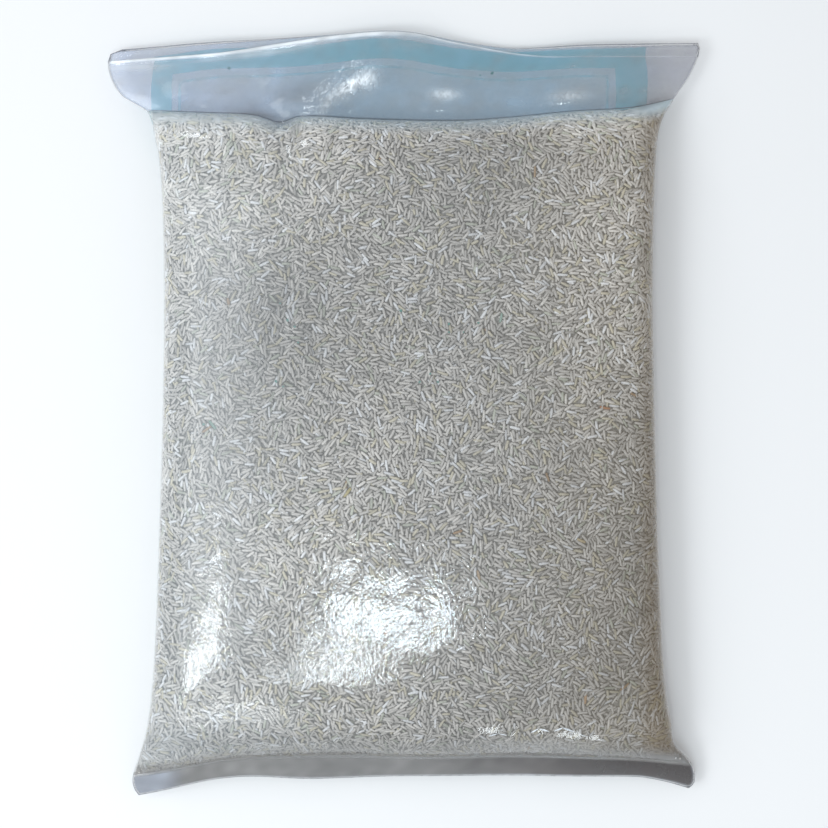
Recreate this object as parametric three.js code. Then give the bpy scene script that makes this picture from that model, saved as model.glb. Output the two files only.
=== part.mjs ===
// A clear film bag filled with long grain rice, lying on its back.
// The bag is one tube of film: a narrow sealed fin at its foot (-Y), a full body that
// rests on its flat underside, and an empty flattened header at its top (+Y).
// Millimetres, +Z up. The origin is on the floor, under the middle of the bag's bounding box.
import * as THREE from "three";

// Driving dimensions
const waistWidth = 310; // across the filled body, where it is narrowest
const bodyHeight = 59.5; // from the floor to the crown of the body
const sideHeight = 25; // height of the widest line of the body's sides
const filmThickness = 1.0; // of the two plies of film, taken together, in the header and the fin
const weldThickness = 0.6; // where only one ply reaches, past the edge of the front ply

// The four lines that cross the bag, as [share of the half width, place along Y].
const finEdgeLine = [
  [-1, -246], [-0.9, -241.9], [-0.72, -234.8], [-0.58, -232.6], [-0.35, -234.2], [0, -232.2],
  [0.5, -232.4], [0.8, -233.1], [0.91, -236.6], [1, -241.5],
];
const finWeldLine = [
  [-1, -232.5], [-0.85, -228], [-0.62, -220.6], [-0.3, -219], [0, -219.6], [0.45, -219],
  [0.75, -220.6], [1, -225],
];
const creaseLine = [
  [-1, 193.4], [-0.78, 191.2], [-0.58, 189.6], [-0.495, 185.6], [-0.42, 188.4],
  [-0.15, 186.8], [0.2, 186], [0.36, 188], [0.6, 191.6], [0.84, 194.6], [1, 201],
];
const headerEdgeLine = [
  [-1, 234], [-0.65, 238.8], [-0.25, 243.4], [-0.03, 244.8], [0.19, 239.1], [0.37, 235.8],
  [0.63, 237.1], [1, 237.8],
];

// How far the bag's sides stand out from X = 0, as [place along Y, distance].
const leftSide = [
  [-246, 173.5], [-241.5, 176.2], [-235.5, 177], [-229.5, 175.8], [-222.5, 173.2], [-212, 169.6],
  [-205, 167.3], [-188, 163.9], [-150, 160.6], [-74, 157.6], [2, 155.4], [79, 154.6], [136, 155.9],
  [164, 158.8], [176, 161.8], [188, 164.6], [194, 168.2], [198.5, 175.6], [203.5, 183.6],
  [211.5, 189.4], [220.5, 192.6], [227.5, 192.8], [232, 190.4], [234, 184],
];
const rightSide = [
  [-241.5, 180.5], [-238.8, 183.4], [-234.9, 184.2], [-229.8, 183.6], [-224.6, 181.5],
  [-219.6, 177.8], [-212.5, 170.6], [-205.4, 168.3], [-195, 166.8], [-182, 164], [-150, 161],
  [-74, 157.8], [2, 155.9], [79, 154.8], [136, 155.8], [164, 157.2], [177, 158.9], [189.4, 163.2],
  [203.8, 172], [214.5, 179.4], [224.8, 184.6], [233.6, 187.2], [237.8, 186],
];

// How full the body is: higher powers give flatter faces and tighter edges. Along the bag
// the film leaves the fin and the crease at a slope, which a sharper end makes steeper.
const crownPower = 2.9; // front face, across the bag
const underPower = 4.2; // underside, across the bag
const endPower = 11; // front face, along the bag
const underEndPower = 7; // underside, along the bag
const endSharpness = 1.25;
const flatShare = 1.03; // the underside is pressed flat where it would reach past this much

// Heights of the film where the filling ends, and how the film droops from there.
const creaseHeight = 22;
const headerEdgeHeight = 10;
const finWeldHeight = 20;
const finEdgeHeight = 16;
const earDroop = 6; // of the four empty corners

// The edge of the header's front ply lies this far short of the back ply's edge.
const frontPlyGap = [
  [-1, 8], [-0.65, 8.4], [-0.43, 4.2], [-0.25, 1.2], [0.1, 1.2], [0.3, 2.4], [0.55, 7.6], [1, 9],
];

// Waves and folds of the header: [share across, share along, height, width, length].
// Shares run from -1 to 1 across, and from 0 at the crease to 1 at the edge.
const headerFolds = [
  [-0.36, 0.1, 3.6, 0.1, 0.45], [-0.2, 0.55, 4.6, 0.13, 0.5], [-0.03, 1, 5.4, 0.16, 0.6],
  [-0.5, 0.1, -4.4, 0.08, 0.5], [-0.72, 0.8, 2.8, 0.2, 0.7], [0.2, 0.25, 2.4, 0.09, 0.3],
  [0.36, 1, -3.4, 0.18, 0.8], [0.66, 0.45, 3.2, 0.2, 0.7], [0.95, 0.9, 2.6, 0.14, 0.8],
];
const finWaves = { height: 1.3, count: 3.5, phase: 0.8 };

// Soft dents and swells of the filled body: [share across, share along, height, width, length].
// Both shares run from -1 to 1, and along the bag -1 is the fin and 1 the crease.
const bodyDents = [
  [-0.46, 0.9, -2.6, 0.05, 0.08], [-0.35, 0.55, -1.1, 0.3, 0.25], [0.4, 0.35, 0.9, 0.35, 0.3],
  [0.1, -0.05, -0.7, 0.3, 0.22], [-0.62, -0.82, -1.6, 0.2, 0.1], [0.55, -0.78, -1.2, 0.3, 0.14],
  [0.72, 0.75, 1.2, 0.2, 0.2], [-0.78, 0.05, 1.2, 0.16, 0.5],
];
const grainRelief = 0.5; // how far the grains push the film out and let it in
const reliefSeed = 7;

// Number of faces across the front, across the underside and along the three stretches.
const frontSteps = 40;
const underSteps = 20;
const bodySteps = 70;
const finSteps = 3;
const headerSteps = 10;

// A smooth curve through [at, value] points, with the slopes of a Catmull-Rom spline.
function curveThrough(points, at) {
  const last = points.length - 1;
  const x = Math.min(Math.max(at, points[0][0]), points[last][0]);
  let i = 0;
  while (i < last - 1 && x > points[i + 1][0]) i += 1;
  const slope = (k) => {
    const before = points[Math.max(k - 1, 0)];
    const after = points[Math.min(k + 1, last)];
    return (after[1] - before[1]) / (after[0] - before[0]);
  };
  const [x0, y0] = points[i];
  const [x1, y1] = points[i + 1];
  const span = x1 - x0;
  const s = (x - x0) / span;
  const rise = slope(i) * span * s * (1 - s) ** 2 - slope(i + 1) * span * s ** 2 * (1 - s);
  return y0 + (y1 - y0) * s * s * (3 - 2 * s) + rise;
}

// 1 in the middle of a full cushion and 0 at its edges, where the share is -1 or 1.
function fullness(share, power, sharpness = power) {
  return Math.max(0, 1 - Math.abs(share) ** power) ** (1 / sharpness);
}

// Places from -1 to 1 that cut the curve of a full cushion into pieces of equal length.
function evenPlaces(count, halfWidth, height, power, sharpness = power) {
  const fine = 4000;
  const curve = [];
  for (let i = 0; i <= fine; i += 1) {
    const share = -Math.cos((Math.PI * i) / fine);
    curve.push([share, halfWidth * share, height * fullness(share, power, sharpness)]);
  }
  const length = [0];
  for (let i = 1; i <= fine; i += 1) {
    const step = Math.hypot(curve[i][1] - curve[i - 1][1], curve[i][2] - curve[i - 1][2]);
    length.push(length[i - 1] + step);
  }
  const places = [];
  let i = 0;
  for (let k = 0; k <= count; k += 1) {
    const wanted = (length[fine] * k) / count;
    while (i < fine && length[i] < wanted) i += 1;
    places.push(curve[i][0]);
  }
  places[0] = -1;
  places[count] = 1;
  return places;
}

// The summed height of soft round features at one place.
function features(list, across, along) {
  let height = 0;
  for (const [atAcross, atAlong, tall, wide, long] of list) {
    const away = ((across - atAcross) / wide) ** 2 + ((along - atAlong) / long) ** 2;
    height += tall * Math.exp(-away);
  }
  return height;
}

// A repeatable number from -1 to 1 for each pair of whole numbers.
function scatter(i, j) {
  const wave = Math.sin(i * 127.1 + j * 311.7 + reliefSeed * 74.7) * 43758.5453;
  return 2 * (wave - Math.floor(wave)) - 1;
}

const mix = (a, b, share) => a + (b - a) * share;
const line = (points) => (across) => curveThrough(points, across);
const [finEdge, finWeld, crease, headerEdge] = [
  finEdgeLine, finWeldLine, creaseLine, headerEdgeLine,
].map(line);

// Where a share across lies on the line between two lines that cross the bag.
function spot(across, lineA, lineB, share) {
  const lineY = (at) => mix(lineA(at), lineB(at), share);
  const xLeft = -curveThrough(leftSide, lineY(-1));
  const xRight = curveThrough(rightSide, lineY(1));
  return { x: mix(xLeft, xRight, (across + 1) / 2), y: lineY(across) };
}

// Droop of the empty corners, which grows towards the sides.
const ears = (across) => earDroop * Math.abs(across) ** 8;

// The fin's slow waves, which die out at the sides.
function finWave(across) {
  const fade = 1 - Math.abs(across) ** 8;
  return finWaves.height * fade * Math.sin(across * finWaves.count * Math.PI + finWaves.phase);
}

// Each of these three gives one place on the bag: x, y, the height of the middle between
// the two plies, and how far the front ply is above it and the underside below it.
function finSpot(across, share) {
  const middle = mix(finEdgeHeight, finWeldHeight, share) - ears(across) + finWave(across);
  const half = filmThickness / 2;
  return { ...spot(across, finEdge, finWeld, share), middle, above: half, below: half };
}

function bodySpot(across, along, relief) {
  const nearEnd = along ** 8;
  const endHeight = along < 0
    ? finWeldHeight - ears(across) + finWave(across)
    : creaseHeight - ears(across) + features(headerFolds, across, 0);
  const middle = mix(sideHeight, endHeight, nearEnd);
  const full = fullness(across, crownPower) * fullness(along, endPower, endSharpness);
  const underFull = fullness(across, underPower) * fullness(along, underEndPower, endSharpness);
  const swell = bodyHeight - sideHeight + features(bodyDents, across, along);
  const half = filmThickness / 2;
  return {
    ...spot(across, finWeld, crease, (along + 1) / 2),
    middle,
    above: half + full * swell + grainRelief * relief * Math.min(1, 3 * full),
    below: Math.min(half + middle * underFull * flatShare, middle),
  };
}

function headerSpot(across, share) {
  const place = spot(across, crease, headerEdge, share);
  const half = filmThickness / 2;
  const frontPlyEnds = headerEdge(across) - curveThrough(frontPlyGap, across);
  const fall = mix(creaseHeight, headerEdgeHeight, share ** 0.8);
  return {
    ...place,
    middle: fall - ears(across) * (1 - share) + features(headerFolds, across, share),
    above: place.y > frontPlyEnds ? weldThickness - half : half,
    below: half,
  };
}

// The rows of the bag from the fin's edge to the header's edge. Each turns a share across
// into a place. Its spread is how far its points move from even steps towards the sides.
function rowsOfBag() {
  const rows = [];
  for (let i = 0; i < finSteps; i += 1) {
    rows.push({ spread: 0, at: (across) => finSpot(across, i / finSteps) });
  }
  const halfLength = (crease(0) - finWeld(0)) / 2;
  const rise = bodyHeight - sideHeight;
  evenPlaces(bodySteps, halfLength, rise, endPower, endSharpness).forEach((along, row) => {
    const at = (across, column) => bodySpot(across, along, scatter(column, row));
    rows.push({ spread: fullness(along, endPower, endSharpness), at });
  });
  for (let i = 1; i <= headerSteps; i += 1) {
    rows.push({ spread: 0, at: (across) => headerSpot(across, i / headerSteps) });
  }
  return rows;
}

// The points of one ring: over the front from left to right, and back along the underside.
function ringPoints(row, front, under) {
  const shares = (places) => places.map((steep, k) => {
    const even = (2 * k) / (places.length - 1) - 1;
    return mix(even, steep, row.spread);
  });
  const points = shares(front).map((across, column) => {
    const { x, y, middle, above } = row.at(across, column);
    return new THREE.Vector3(x, y, middle + (Math.abs(across) === 1 ? 0 : above));
  });
  for (const across of shares(under).slice(1, -1).reverse()) {
    const { x, y, middle, below } = row.at(across, 0);
    points.push(new THREE.Vector3(x, y, middle - below));
  }
  return points;
}

// Two triangles for each cell between neighbouring rings, cut along the shorter diagonal.
function skinBetween(rings) {
  const size = rings[0].length;
  const faces = [];
  for (let r = 0; r + 1 < rings.length; r += 1) {
    for (let k = 0; k < size; k += 1) {
      const next = (k + 1) % size;
      const [a, b] = [r * size + k, r * size + next];
      const [c, d] = [a + size, b + size];
      const [pa, pb, pc, pd] = [rings[r][k], rings[r][next], rings[r + 1][k], rings[r + 1][next]];
      if (pa.distanceTo(pd) < pb.distanceTo(pc)) faces.push(a, b, d, a, d, c);
      else faces.push(a, b, c, b, d, c);
    }
  }
  return faces;
}

// Closes a thin end of the tube with a strip from the front's points to the underside's.
function endCap(ring, first, turned) {
  const over = [];
  for (let k = 0; k <= frontSteps; k += 1) over.push(k);
  const under = [0];
  for (let k = ring.length - 1; k >= frontSteps; k -= 1) under.push(k);
  const faces = [];
  const addFace = (a, b, c) => {
    if (a === b || b === c || c === a) return;
    if (turned) faces.push(first + a, first + b, first + c);
    else faces.push(first + a, first + c, first + b);
  };
  let [i, j] = [0, 0];
  while (i + 1 < over.length || j + 1 < under.length) {
    const overIsNext = j + 1 === under.length
      || (i + 1 < over.length && ring[over[i + 1]].x <= ring[under[j + 1]].x);
    if (overIsNext) {
      addFace(over[i], over[i + 1], under[j]);
      i += 1;
    } else {
      addFace(over[i], under[j + 1], under[j]);
      j += 1;
    }
  }
  return faces;
}

function filledBag() {
  const front = evenPlaces(frontSteps, waistWidth / 2, bodyHeight - sideHeight, crownPower);
  const under = evenPlaces(underSteps, waistWidth / 2, sideHeight, underPower);
  const rings = rowsOfBag().map((row) => ringPoints(row, front, under));
  const lastStart = (rings.length - 1) * rings[0].length;
  const faces = [
    ...skinBetween(rings),
    ...endCap(rings[0], 0, false),
    ...endCap(rings[rings.length - 1], lastStart, true),
  ];
  return new THREE.BufferGeometry().setFromPoints(rings.flat()).setIndex(faces);
}

// Moves the finished shape so that the origin is under the middle of its bounding box.
function standOnOrigin(geometry) {
  geometry.computeBoundingBox();
  const { min, max } = geometry.boundingBox;
  geometry.translate(-(min.x + max.x) / 2, -(min.y + max.y) / 2, -min.z);
  geometry.computeVertexNormals();
  return geometry;
}

const riceInFilm = new THREE.MeshStandardMaterial({
  color: new THREE.Color(0.62, 0.62, 0.6),
  roughness: 0.25,
  metalness: 0,
});

const riceBag = new THREE.Mesh(standOnOrigin(filledBag()), riceInFilm);
riceBag.name = "rice_bag";

const group = new THREE.Group();
group.add(riceBag);

export default group;
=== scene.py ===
import math

import bmesh
import bpy
import numpy as np
from mathutils import Matrix, Vector


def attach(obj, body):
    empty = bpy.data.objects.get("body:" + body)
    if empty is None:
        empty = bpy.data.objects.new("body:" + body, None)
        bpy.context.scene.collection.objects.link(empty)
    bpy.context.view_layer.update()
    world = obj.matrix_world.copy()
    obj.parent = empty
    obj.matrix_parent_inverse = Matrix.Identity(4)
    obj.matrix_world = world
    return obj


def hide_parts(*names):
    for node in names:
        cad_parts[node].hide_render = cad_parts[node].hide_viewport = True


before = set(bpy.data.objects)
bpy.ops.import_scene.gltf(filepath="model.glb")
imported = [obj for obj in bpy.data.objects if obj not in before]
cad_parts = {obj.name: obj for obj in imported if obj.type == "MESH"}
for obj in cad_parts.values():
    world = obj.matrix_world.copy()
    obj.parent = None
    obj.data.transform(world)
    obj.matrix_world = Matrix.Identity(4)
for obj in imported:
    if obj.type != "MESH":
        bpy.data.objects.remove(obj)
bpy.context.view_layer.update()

mm = 0.001


# The bag's form, in millimetres, by the same sizes as its CAD model

bag = {
    "waistWidth": 310, "bodyHeight": 59.5, "sideHeight": 25,
    "crownPower": 2.9, "underPower": 4.2, "endPower": 11, "underEndPower": 7,
    "endSharpness": 1.25, "flatShare": 1.03,
    "creaseHeight": 22, "headerEdgeHeight": 10, "finWeldHeight": 20, "finEdgeHeight": 16,
    "earDroop": 6, "earPower": 8, "plies": 1.0,
    "lip": 1.5, "lipAt": 0.962, "lipWidth": 0.028,
    "columns": 150, "finRows": 8, "bodyRows": 170, "headerRows": 44,
}
lines = {  # lines that cross the bag: [share of the half width, place along Y]
    "finEdge": [
        [-1, -246], [-0.9, -241.9], [-0.72, -234.8], [-0.58, -232.6], [-0.35, -234.2], [0, -232.2],
        [0.5, -232.4], [0.8, -233.1], [0.91, -236.6], [1, -241.5],
    ],
    "finWeld": [
        [-1, -232.5], [-0.85, -228], [-0.62, -220.6], [-0.3, -219], [0, -219.6], [0.45, -219],
        [0.75, -220.6], [1, -225],
    ],
    "crease": [
        [-1, 193.4], [-0.78, 191.2], [-0.58, 189.6], [-0.495, 185.6], [-0.42, 188.4],
        [-0.15, 186.8], [0.2, 186], [0.36, 188], [0.6, 191.6], [0.84, 194.6], [1, 201],
    ],
    "headerEdge": [
        [-1, 234], [-0.65, 238.8], [-0.25, 243.4], [-0.03, 244.8], [0.19, 239.1], [0.37, 235.8],
        [0.63, 237.1], [1, 237.8],
    ],
    "frontPlyGap": [
        [-1, 8], [-0.65, 8.4], [-0.43, 4.2], [-0.25, 1.2], [0.1, 1.2], [0.3, 2.4],
        [0.55, 7.6], [1, 9],
    ],
    "leftSide": [
        [-246, 173.5], [-241.5, 176.2], [-235.5, 177], [-229.5, 175.8], [-222.5, 173.2],
        [-212, 169.6], [-205, 167.3], [-188, 163.9], [-150, 160.6], [-74, 157.6], [2, 155.4],
        [79, 154.6], [136, 155.9], [164, 158.8], [176, 161.8], [188, 164.6], [194, 168.2],
        [198.5, 175.6], [203.5, 183.6], [211.5, 189.4], [220.5, 192.6], [227.5, 192.8],
        [232, 190.4], [234, 184],
    ],
    "rightSide": [
        [-241.5, 180.5], [-238.8, 183.4], [-234.9, 184.2], [-229.8, 183.6], [-224.6, 181.5],
        [-219.6, 177.8], [-212.5, 170.6], [-205.4, 168.3], [-195, 166.8], [-182, 164], [-150, 161],
        [-74, 157.8], [2, 155.9], [79, 154.8], [136, 155.8], [164, 157.2], [177, 158.9],
        [189.4, 163.2], [203.8, 172], [214.5, 179.4], [224.8, 184.6], [233.6, 187.2], [237.8, 186],
    ],
}
swells = {  # soft round features: [share across, share along, height, width, length]
    "header": [
        [-0.36, 0.1, 3.6, 0.1, 0.45], [-0.2, 0.55, 4.6, 0.13, 0.5], [-0.03, 1, 5.4, 0.16, 0.6],
        [-0.5, 0.1, -4.4, 0.08, 0.5], [-0.72, 0.8, 2.8, 0.2, 0.7], [0.2, 0.25, 2.4, 0.09, 0.3],
        [0.36, 1, -3.4, 0.18, 0.8], [0.66, 0.45, 3.2, 0.2, 0.7], [0.95, 0.9, 2.6, 0.14, 0.8],
    ],
    "body": [
        [-0.46, 0.9, -2.6, 0.05, 0.08], [-0.35, 0.55, -1.1, 0.3, 0.25],
        [0.4, 0.35, 0.9, 0.35, 0.3], [0.1, -0.05, -0.7, 0.3, 0.22],
        [-0.62, -0.82, -1.6, 0.2, 0.1], [0.55, -0.78, -1.2, 0.3, 0.14],
        [0.72, 0.75, 1.2, 0.2, 0.2], [-0.78, 0.05, 1.2, 0.16, 0.5],
    ],
}
finWaves = {"height": 1.3, "count": 3.5, "phase": 0.8}


def mix(a, b, share):
    return a + (b - a) * share


def ease(low, high, value):
    s = np.clip((value - low) / (high - low), 0, 1)
    return s * s * (3 - 2 * s)


def curveThrough(name, at):
    xs, ys = np.array(lines[name], float).T
    last = len(xs) - 1
    before, after = np.maximum(np.arange(last + 1) - 1, 0), np.minimum(np.arange(last + 1) + 1, last)
    slope = (ys[after] - ys[before]) / (xs[after] - xs[before])
    x = np.clip(at, xs[0], xs[-1])
    i = np.clip(np.searchsorted(xs, x, side="right") - 1, 0, last - 1)
    span = xs[i + 1] - xs[i]
    s = (x - xs[i]) / span
    bend = span * s * (1 - s) * (slope[i] * (1 - s) - slope[i + 1] * s)
    return ys[i] + (ys[i + 1] - ys[i]) * s * s * (3 - 2 * s) + bend


def fullness(share, power, sharpness=None):
    return np.maximum(0, 1 - np.abs(share) ** power) ** (1 / (sharpness or power))


def evenPlaces(count, halfWidth, height, power, sharpness=None):
    a = -np.cos(np.linspace(0, math.pi, 4001))
    steps = np.hypot(np.diff(a) * halfWidth, np.diff(fullness(a, power, sharpness)) * height)
    length = np.concatenate([[0], np.cumsum(steps)])
    return np.interp(np.linspace(0, length[-1], count + 1), length, a)


def swell(name, across, along):
    height = 0 * across
    for u, v, tall, wide, long in swells[name]:
        height = height + tall * np.exp(-(((across - u) / wide) ** 2 + ((along - v) / long) ** 2))
    return height


def spot(across, lineA, lineB, share):
    left = mix(curveThrough(lineA, -1), curveThrough(lineB, -1), share)
    right = mix(curveThrough(lineA, 1), curveThrough(lineB, 1), share)
    xLeft, xRight = -curveThrough("leftSide", left), curveThrough("rightSide", right)
    y = mix(curveThrough(lineA, across), curveThrough(lineB, across), share)
    return mix(xLeft, xRight, (across + 1) / 2), y


def ears(across):
    return bag["earDroop"] * np.abs(across) ** bag["earPower"]


def finWave(across):
    turn = across * finWaves["count"] * math.pi + finWaves["phase"]
    return finWaves["height"] * (1 - np.abs(across) ** bag["earPower"]) * np.sin(turn)


def finSpot(across, share):
    x, y = spot(across, "finEdge", "finWeld", share)
    middle = mix(bag["finEdgeHeight"], bag["finWeldHeight"], share) - ears(across) + finWave(across)
    half = bag["plies"] / 2 * min(1, 8 * share)
    return x, y, middle, half, half


def bodySpot(across, along):
    x, y = spot(across, "finWeld", "crease", (along + 1) / 2)
    nearEnd = along ** bag["earPower"]
    foot = bag["finWeldHeight"] - ears(across) + finWave(across)
    top = bag["creaseHeight"] - ears(across) + swell("header", across, 0)
    middle = mix(bag["sideHeight"], np.where(along < 0, foot, top), nearEnd)
    sharp = bag["endSharpness"]
    full = fullness(across, bag["crownPower"]) * fullness(along, bag["endPower"], sharp)
    underFull = fullness(across, bag["underPower"]) * fullness(along, bag["underEndPower"], sharp)
    rise = bag["bodyHeight"] - bag["sideHeight"] + swell("body", across, along)
    half = bag["plies"] / 2
    below = np.minimum(half + middle * underFull * bag["flatShare"], middle)
    return x, y, middle, half + full * rise, below


# The front ply of the header stands off the back ply in long soft folds
headerFolds = [  # [from x, from y, to x, to y, height, width] in millimetres
    [-60, 190, -19, 216, 4.6, 12], [-19, 216, 6, 234, 3.2, 11], [14, 194, 34, 196, 1.7, 6],
    [86, 199, 104, 200, 2.0, 5], [-150, 214, -96, 222, 2.4, 8], [60, 214, 150, 216, 2.2, 9],
    [0, 204, 60, 216, 2.0, 9], [-128, 198, -108, 202, 1.4, 6],
]


def folds(x, y):
    height = 0 * x
    for x0, y0, x1, y1, tall, wide in headerFolds:
        lengthSquared = (x1 - x0) ** 2 + (y1 - y0) ** 2
        s = np.clip(((x - x0) * (x1 - x0) + (y - y0) * (y1 - y0)) / lengthSquared, 0, 1)
        away = np.hypot(x - mix(x0, x1, s), y - mix(y0, y1, s)) / wide
        height = height + tall * np.exp(-away ** 2)
    return height


def headerSpot(across, share, frontPly):
    x, y = spot(across, "crease", "headerEdge", share)
    middle = mix(bag["creaseHeight"], bag["headerEdgeHeight"], share ** 0.8)
    middle = middle - ears(across) * (1 - share) + swell("header", across, share)
    half = bag["plies"] / 2
    fade = ease(0, 0.16, share) * ease(0, 0.06, 1 - np.abs(across))
    above = half + folds(x, y) * fade if frontPly else 0.1 - half + 0 * x
    return x, y, middle, above, half + 0 * x


inHeader, inBody, inFin = 0, 1, 2  # the zones that the tables' rows lie in


def bagTables():
    count, rise = bag["columns"], bag["bodyHeight"] - bag["sideHeight"]
    even = np.linspace(-1, 1, count + 1)
    steepFront = evenPlaces(count, bag["waistWidth"] / 2, rise, bag["crownPower"])
    steepUnder = evenPlaces(count, bag["waistWidth"] / 2, bag["sideHeight"], bag["underPower"])
    halfLength = (curveThrough("crease", 0) - curveThrough("finWeld", 0)) / 2
    ends = (bag["endPower"], bag["endSharpness"])
    atSide = np.abs(even) == 1
    front, under, zones = [], [], []

    def keep(frontSpot, underSpot, rowZone):
        x, y, middle, above, below = frontSpot
        front.append(np.stack([x, y, middle + np.where(atSide, 0, above)], -1))
        x, y, middle, above, below = underSpot
        under.append(np.stack([x, y, middle - np.where(atSide, 0, below)], -1))
        zones.append(rowZone)

    for share in np.linspace(0, 1, bag["finRows"] + 1)[:-1]:
        keep(finSpot(even, share), finSpot(even, share), inFin)
    for along in evenPlaces(bag["bodyRows"], halfLength, rise, *ends):
        spread = fullness(along, *ends)
        keep(*(bodySpot(mix(even, steep, spread), along) for steep in (steepFront, steepUnder)), inBody)
    edge = curveThrough("headerEdge", even)
    frontShare = 1 - curveThrough("frontPlyGap", even) / (edge - curveThrough("crease", even))
    for share in np.linspace(0, 1, bag["headerRows"] + 1)[1:]:
        x, y, middle, above, below = headerSpot(even, frontShare * share, True)
        lip = bag["lip"] * math.exp(-((share - bag["lipAt"]) / bag["lipWidth"]) ** 2) * ease(60, -10, x)
        place = x, y, middle, above + lip * ease(0, 0.06, 1 - np.abs(even)), below
        keep(place, place, inHeader)
    for share in (0.03, 0.6):
        place = headerSpot(even, mix(frontShare, 1, share), False)
        keep(place, place, inHeader)
    last = headerSpot(even, 1 + 0 * even, False)
    pinched = (*last[:3], -last[4], last[4])
    keep(pinched, pinched, inHeader)
    return np.array(front), np.array(under), np.array(zones)


frontTable, underTable, zone = bagTables()
bodyRows = np.nonzero(zone == inBody)[0]
creaseRow, plyEdgeRow = int(bodyRows[-1]), int(bodyRows[-1]) + bag["headerRows"]
bothTables = np.concatenate([frontTable.reshape(-1, 3), underTable.reshape(-1, 3)])
shift = -(bothTables.min(0) + bothTables.max(0)) / 2
shift[2] = -bothTables[:, 2].min()
frontTable, underTable = (frontTable + shift) * mm, (underTable + shift) * mm
print("bag form: rows and columns", frontTable.shape[:2], "shift in mm", shift.round(2))


def softNoise(x, y, size, seed, longWay=1, turn=0):
    # waves in all directions, added up: smooth, mostly between -2 and 2
    draw, c, n = np.random.default_rng(seed), math.cos(turn), math.sin(turn)
    u, v = (x * c + y * n) / longWay, y * c - x * n
    total = 0 * x
    for _ in range(14):
        way, wave, start = draw.uniform(0, 2 * math.pi), size * draw.uniform(0.7, 1.7), draw.uniform(0, 7)
        total = total + np.sin((u * math.cos(way) + v * math.sin(way)) * 2 * math.pi / wave + start)
    return total / math.sqrt(7)


slack = {  # how uneven the film is, in millimetres: (size, height)
    "body": (17, 0.04), "header": (9, 0.1), "foot": (20, 0.16), "footFrom": -190, "footTo": -216,
}


def slackFilm(table):
    x, y = table[..., 0] / mm - shift[0], table[..., 1] / mm - shift[1]
    header = np.broadcast_to((zone == inHeader)[:, None], x.shape).astype(float)
    above, below = slack["footFrom"], slack["footTo"]
    foot = ease(above + 8, above - 6, y) * ease(below, below + 6, y)
    rise = slack["body"][1] * softNoise(x, y, slack["body"][0], 3, 1.5, 0.5) * (1 - header)
    rise = rise + slack["header"][1] * softNoise(x, y, slack["header"][0], 4, 1.4, 0.9) * header
    rise = rise + slack["foot"][1] * softNoise(x, y, slack["foot"][0], 5, 0.8) * foot
    rows = np.arange(len(table))
    kept = ease(bag["finRows"], bag["finRows"] + 6, rows) * ease(plyEdgeRow, plyEdgeRow - 5, rows)
    columns = np.linspace(-1, 1, table.shape[1])
    table = table.copy()
    table[..., 2] += rise * mm * kept[:, None] * ease(1, 0.93, np.abs(columns))
    return table


frontTable = slackFilm(frontTable)


def normalsOf(table, outward):
    alongRows, alongColumns = np.gradient(table, axis=0), np.gradient(table, axis=1)
    n = np.cross(alongColumns, alongRows) * outward
    return n / np.maximum(np.linalg.norm(n, axis=-1, keepdims=True), 1e-12)


# Shader helper: sockets that take Python arithmetic

class Sock:
    def __init__(self, look, socket):
        self.look, self.socket = look, socket

    def maths(self, operation, *others, clamp=False):
        values = {i: v for i, v in enumerate((self, *others))}
        return self.look.node("ShaderNodeMath", {"operation": operation, "use_clamp": clamp}, values)

    def __add__(self, other): return self.maths("ADD", other)
    def __radd__(self, other): return self.maths("ADD", other)
    def __sub__(self, other): return self.maths("SUBTRACT", other)
    def __rsub__(self, other): return self.look.value("SUBTRACT", other, self)
    def __mul__(self, other): return self.maths("MULTIPLY", other)
    def __rmul__(self, other): return self.maths("MULTIPLY", other)
    def __truediv__(self, other): return self.maths("DIVIDE", other)
    def __rtruediv__(self, other): return self.look.value("DIVIDE", other, self)
    def __pow__(self, other): return self.maths("POWER", other)
    def clamped(self): return self.maths("ADD", 0, clamp=True)
    def least(self, other): return self.maths("MINIMUM", other)

    def ramp(self, low, high, fromValue=0, toValue=1):
        return self.look.node("ShaderNodeMapRange", {"interpolation_type": "SMOOTHSTEP"}, {
            "Value": self, "From Min": low, "From Max": high, "To Min": fromValue, "To Max": toValue})


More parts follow.
